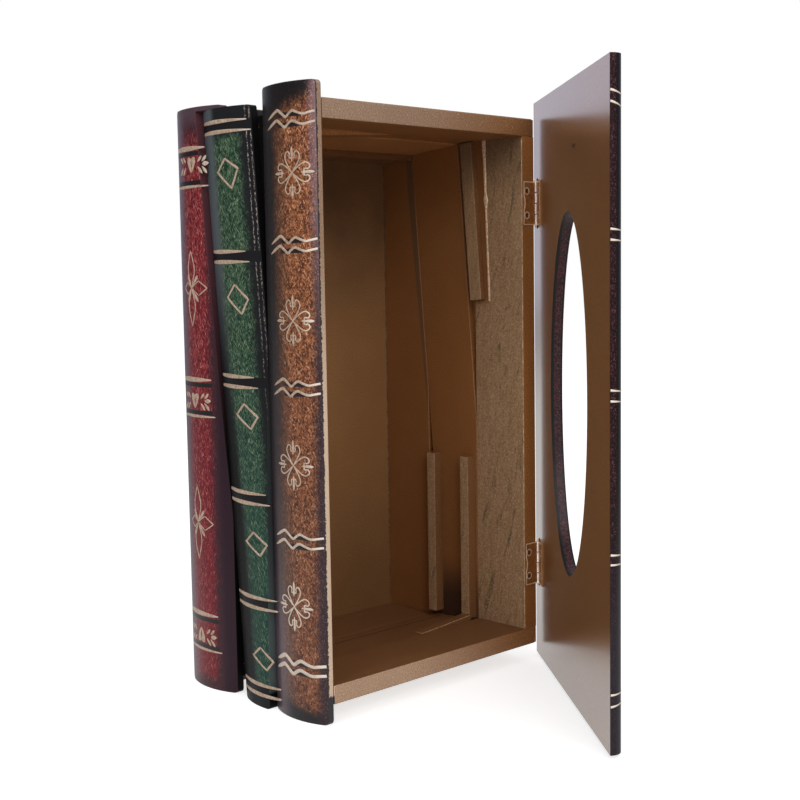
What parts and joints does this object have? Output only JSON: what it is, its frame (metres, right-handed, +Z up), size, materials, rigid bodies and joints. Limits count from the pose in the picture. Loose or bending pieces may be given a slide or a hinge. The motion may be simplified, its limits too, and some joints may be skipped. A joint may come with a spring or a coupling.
{
  "type": "book box",
  "caption": "Keepsake box shaped like old books standing side by side, the middle one leaning, with a front cover that opens as a hinged door with an oval slot.",
  "frame": {"origin": "middle of the bounding box at floor level, with the door as it rests, open by 51.6 degrees", "axes": "+X from the spines to the fore edge, where the hinges are, +Y from the door to the rear cover, +Z up"},
  "size_m": [0.1397, 0.1962, 0.2516],
  "materials": {
    "brown_paint": "sponged rust brown paint with a dark edge, gold line ornament, gloss lacquer",
    "green_paint": "sponged dark green paint with black ends, gold line ornament, gloss lacquer",
    "red_paint": "sponged dark red paint with a dark edge, gold line ornament, gloss lacquer",
    "black_paint": "satin black paint",
    "gold_paint": "metallic gold brown paint, satin, with grooves like page edges outside",
    "door_paint": "gloss gold brown lacquer inside, sponged rust brown outside, black free edge",
    "old_brass": "aged brass, satin"
  },
  "bodies": {
    "case": {"front_spine": "brown_paint", "middle_spine": "green_paint", "rear_spine": "red_paint", "side_panel": "black_paint", "rear_cover": "red_paint", "front_top_board": "gold_paint", "front_bottom_board": "gold_paint", "front_fore_board": "gold_paint", "middle_top_board": "gold_paint", "middle_bottom_board": "gold_paint", "middle_fore_board": "gold_paint", "rear_top_board": "gold_paint", "rear_bottom_board": "gold_paint", "rear_fore_board": "gold_paint", "top_filler": "black_paint", "bottom_filler": "black_paint", "upper_fore_filler": "black_paint", "lower_fore_filler": "black_paint", "floor_wedge": "gold_paint", "leaning_joint_strip": "gold_paint", "front_joint_strip": "gold_paint", "rear_joint_strip": "gold_paint", "upper_hinge_case_leaf": "old_brass", "upper_hinge_pin": "old_brass", "lower_hinge_case_leaf": "old_brass", "lower_hinge_pin": "old_brass", "case_screws": "old_brass"},
    "door": {"door_panel": "door_paint", "upper_hinge_door_leaf": "old_brass", "lower_hinge_door_leaf": "old_brass", "door_screws": "old_brass"}
  },
  "joints": [
    {"name": "door_hinge", "type": "hinge", "parent": "case", "child": "door", "pos_m": [0.06055, 0.00342, 0.1265], "axis": [0, 0, 1], "range_deg": [-51.6, 46.4]}
  ]
}
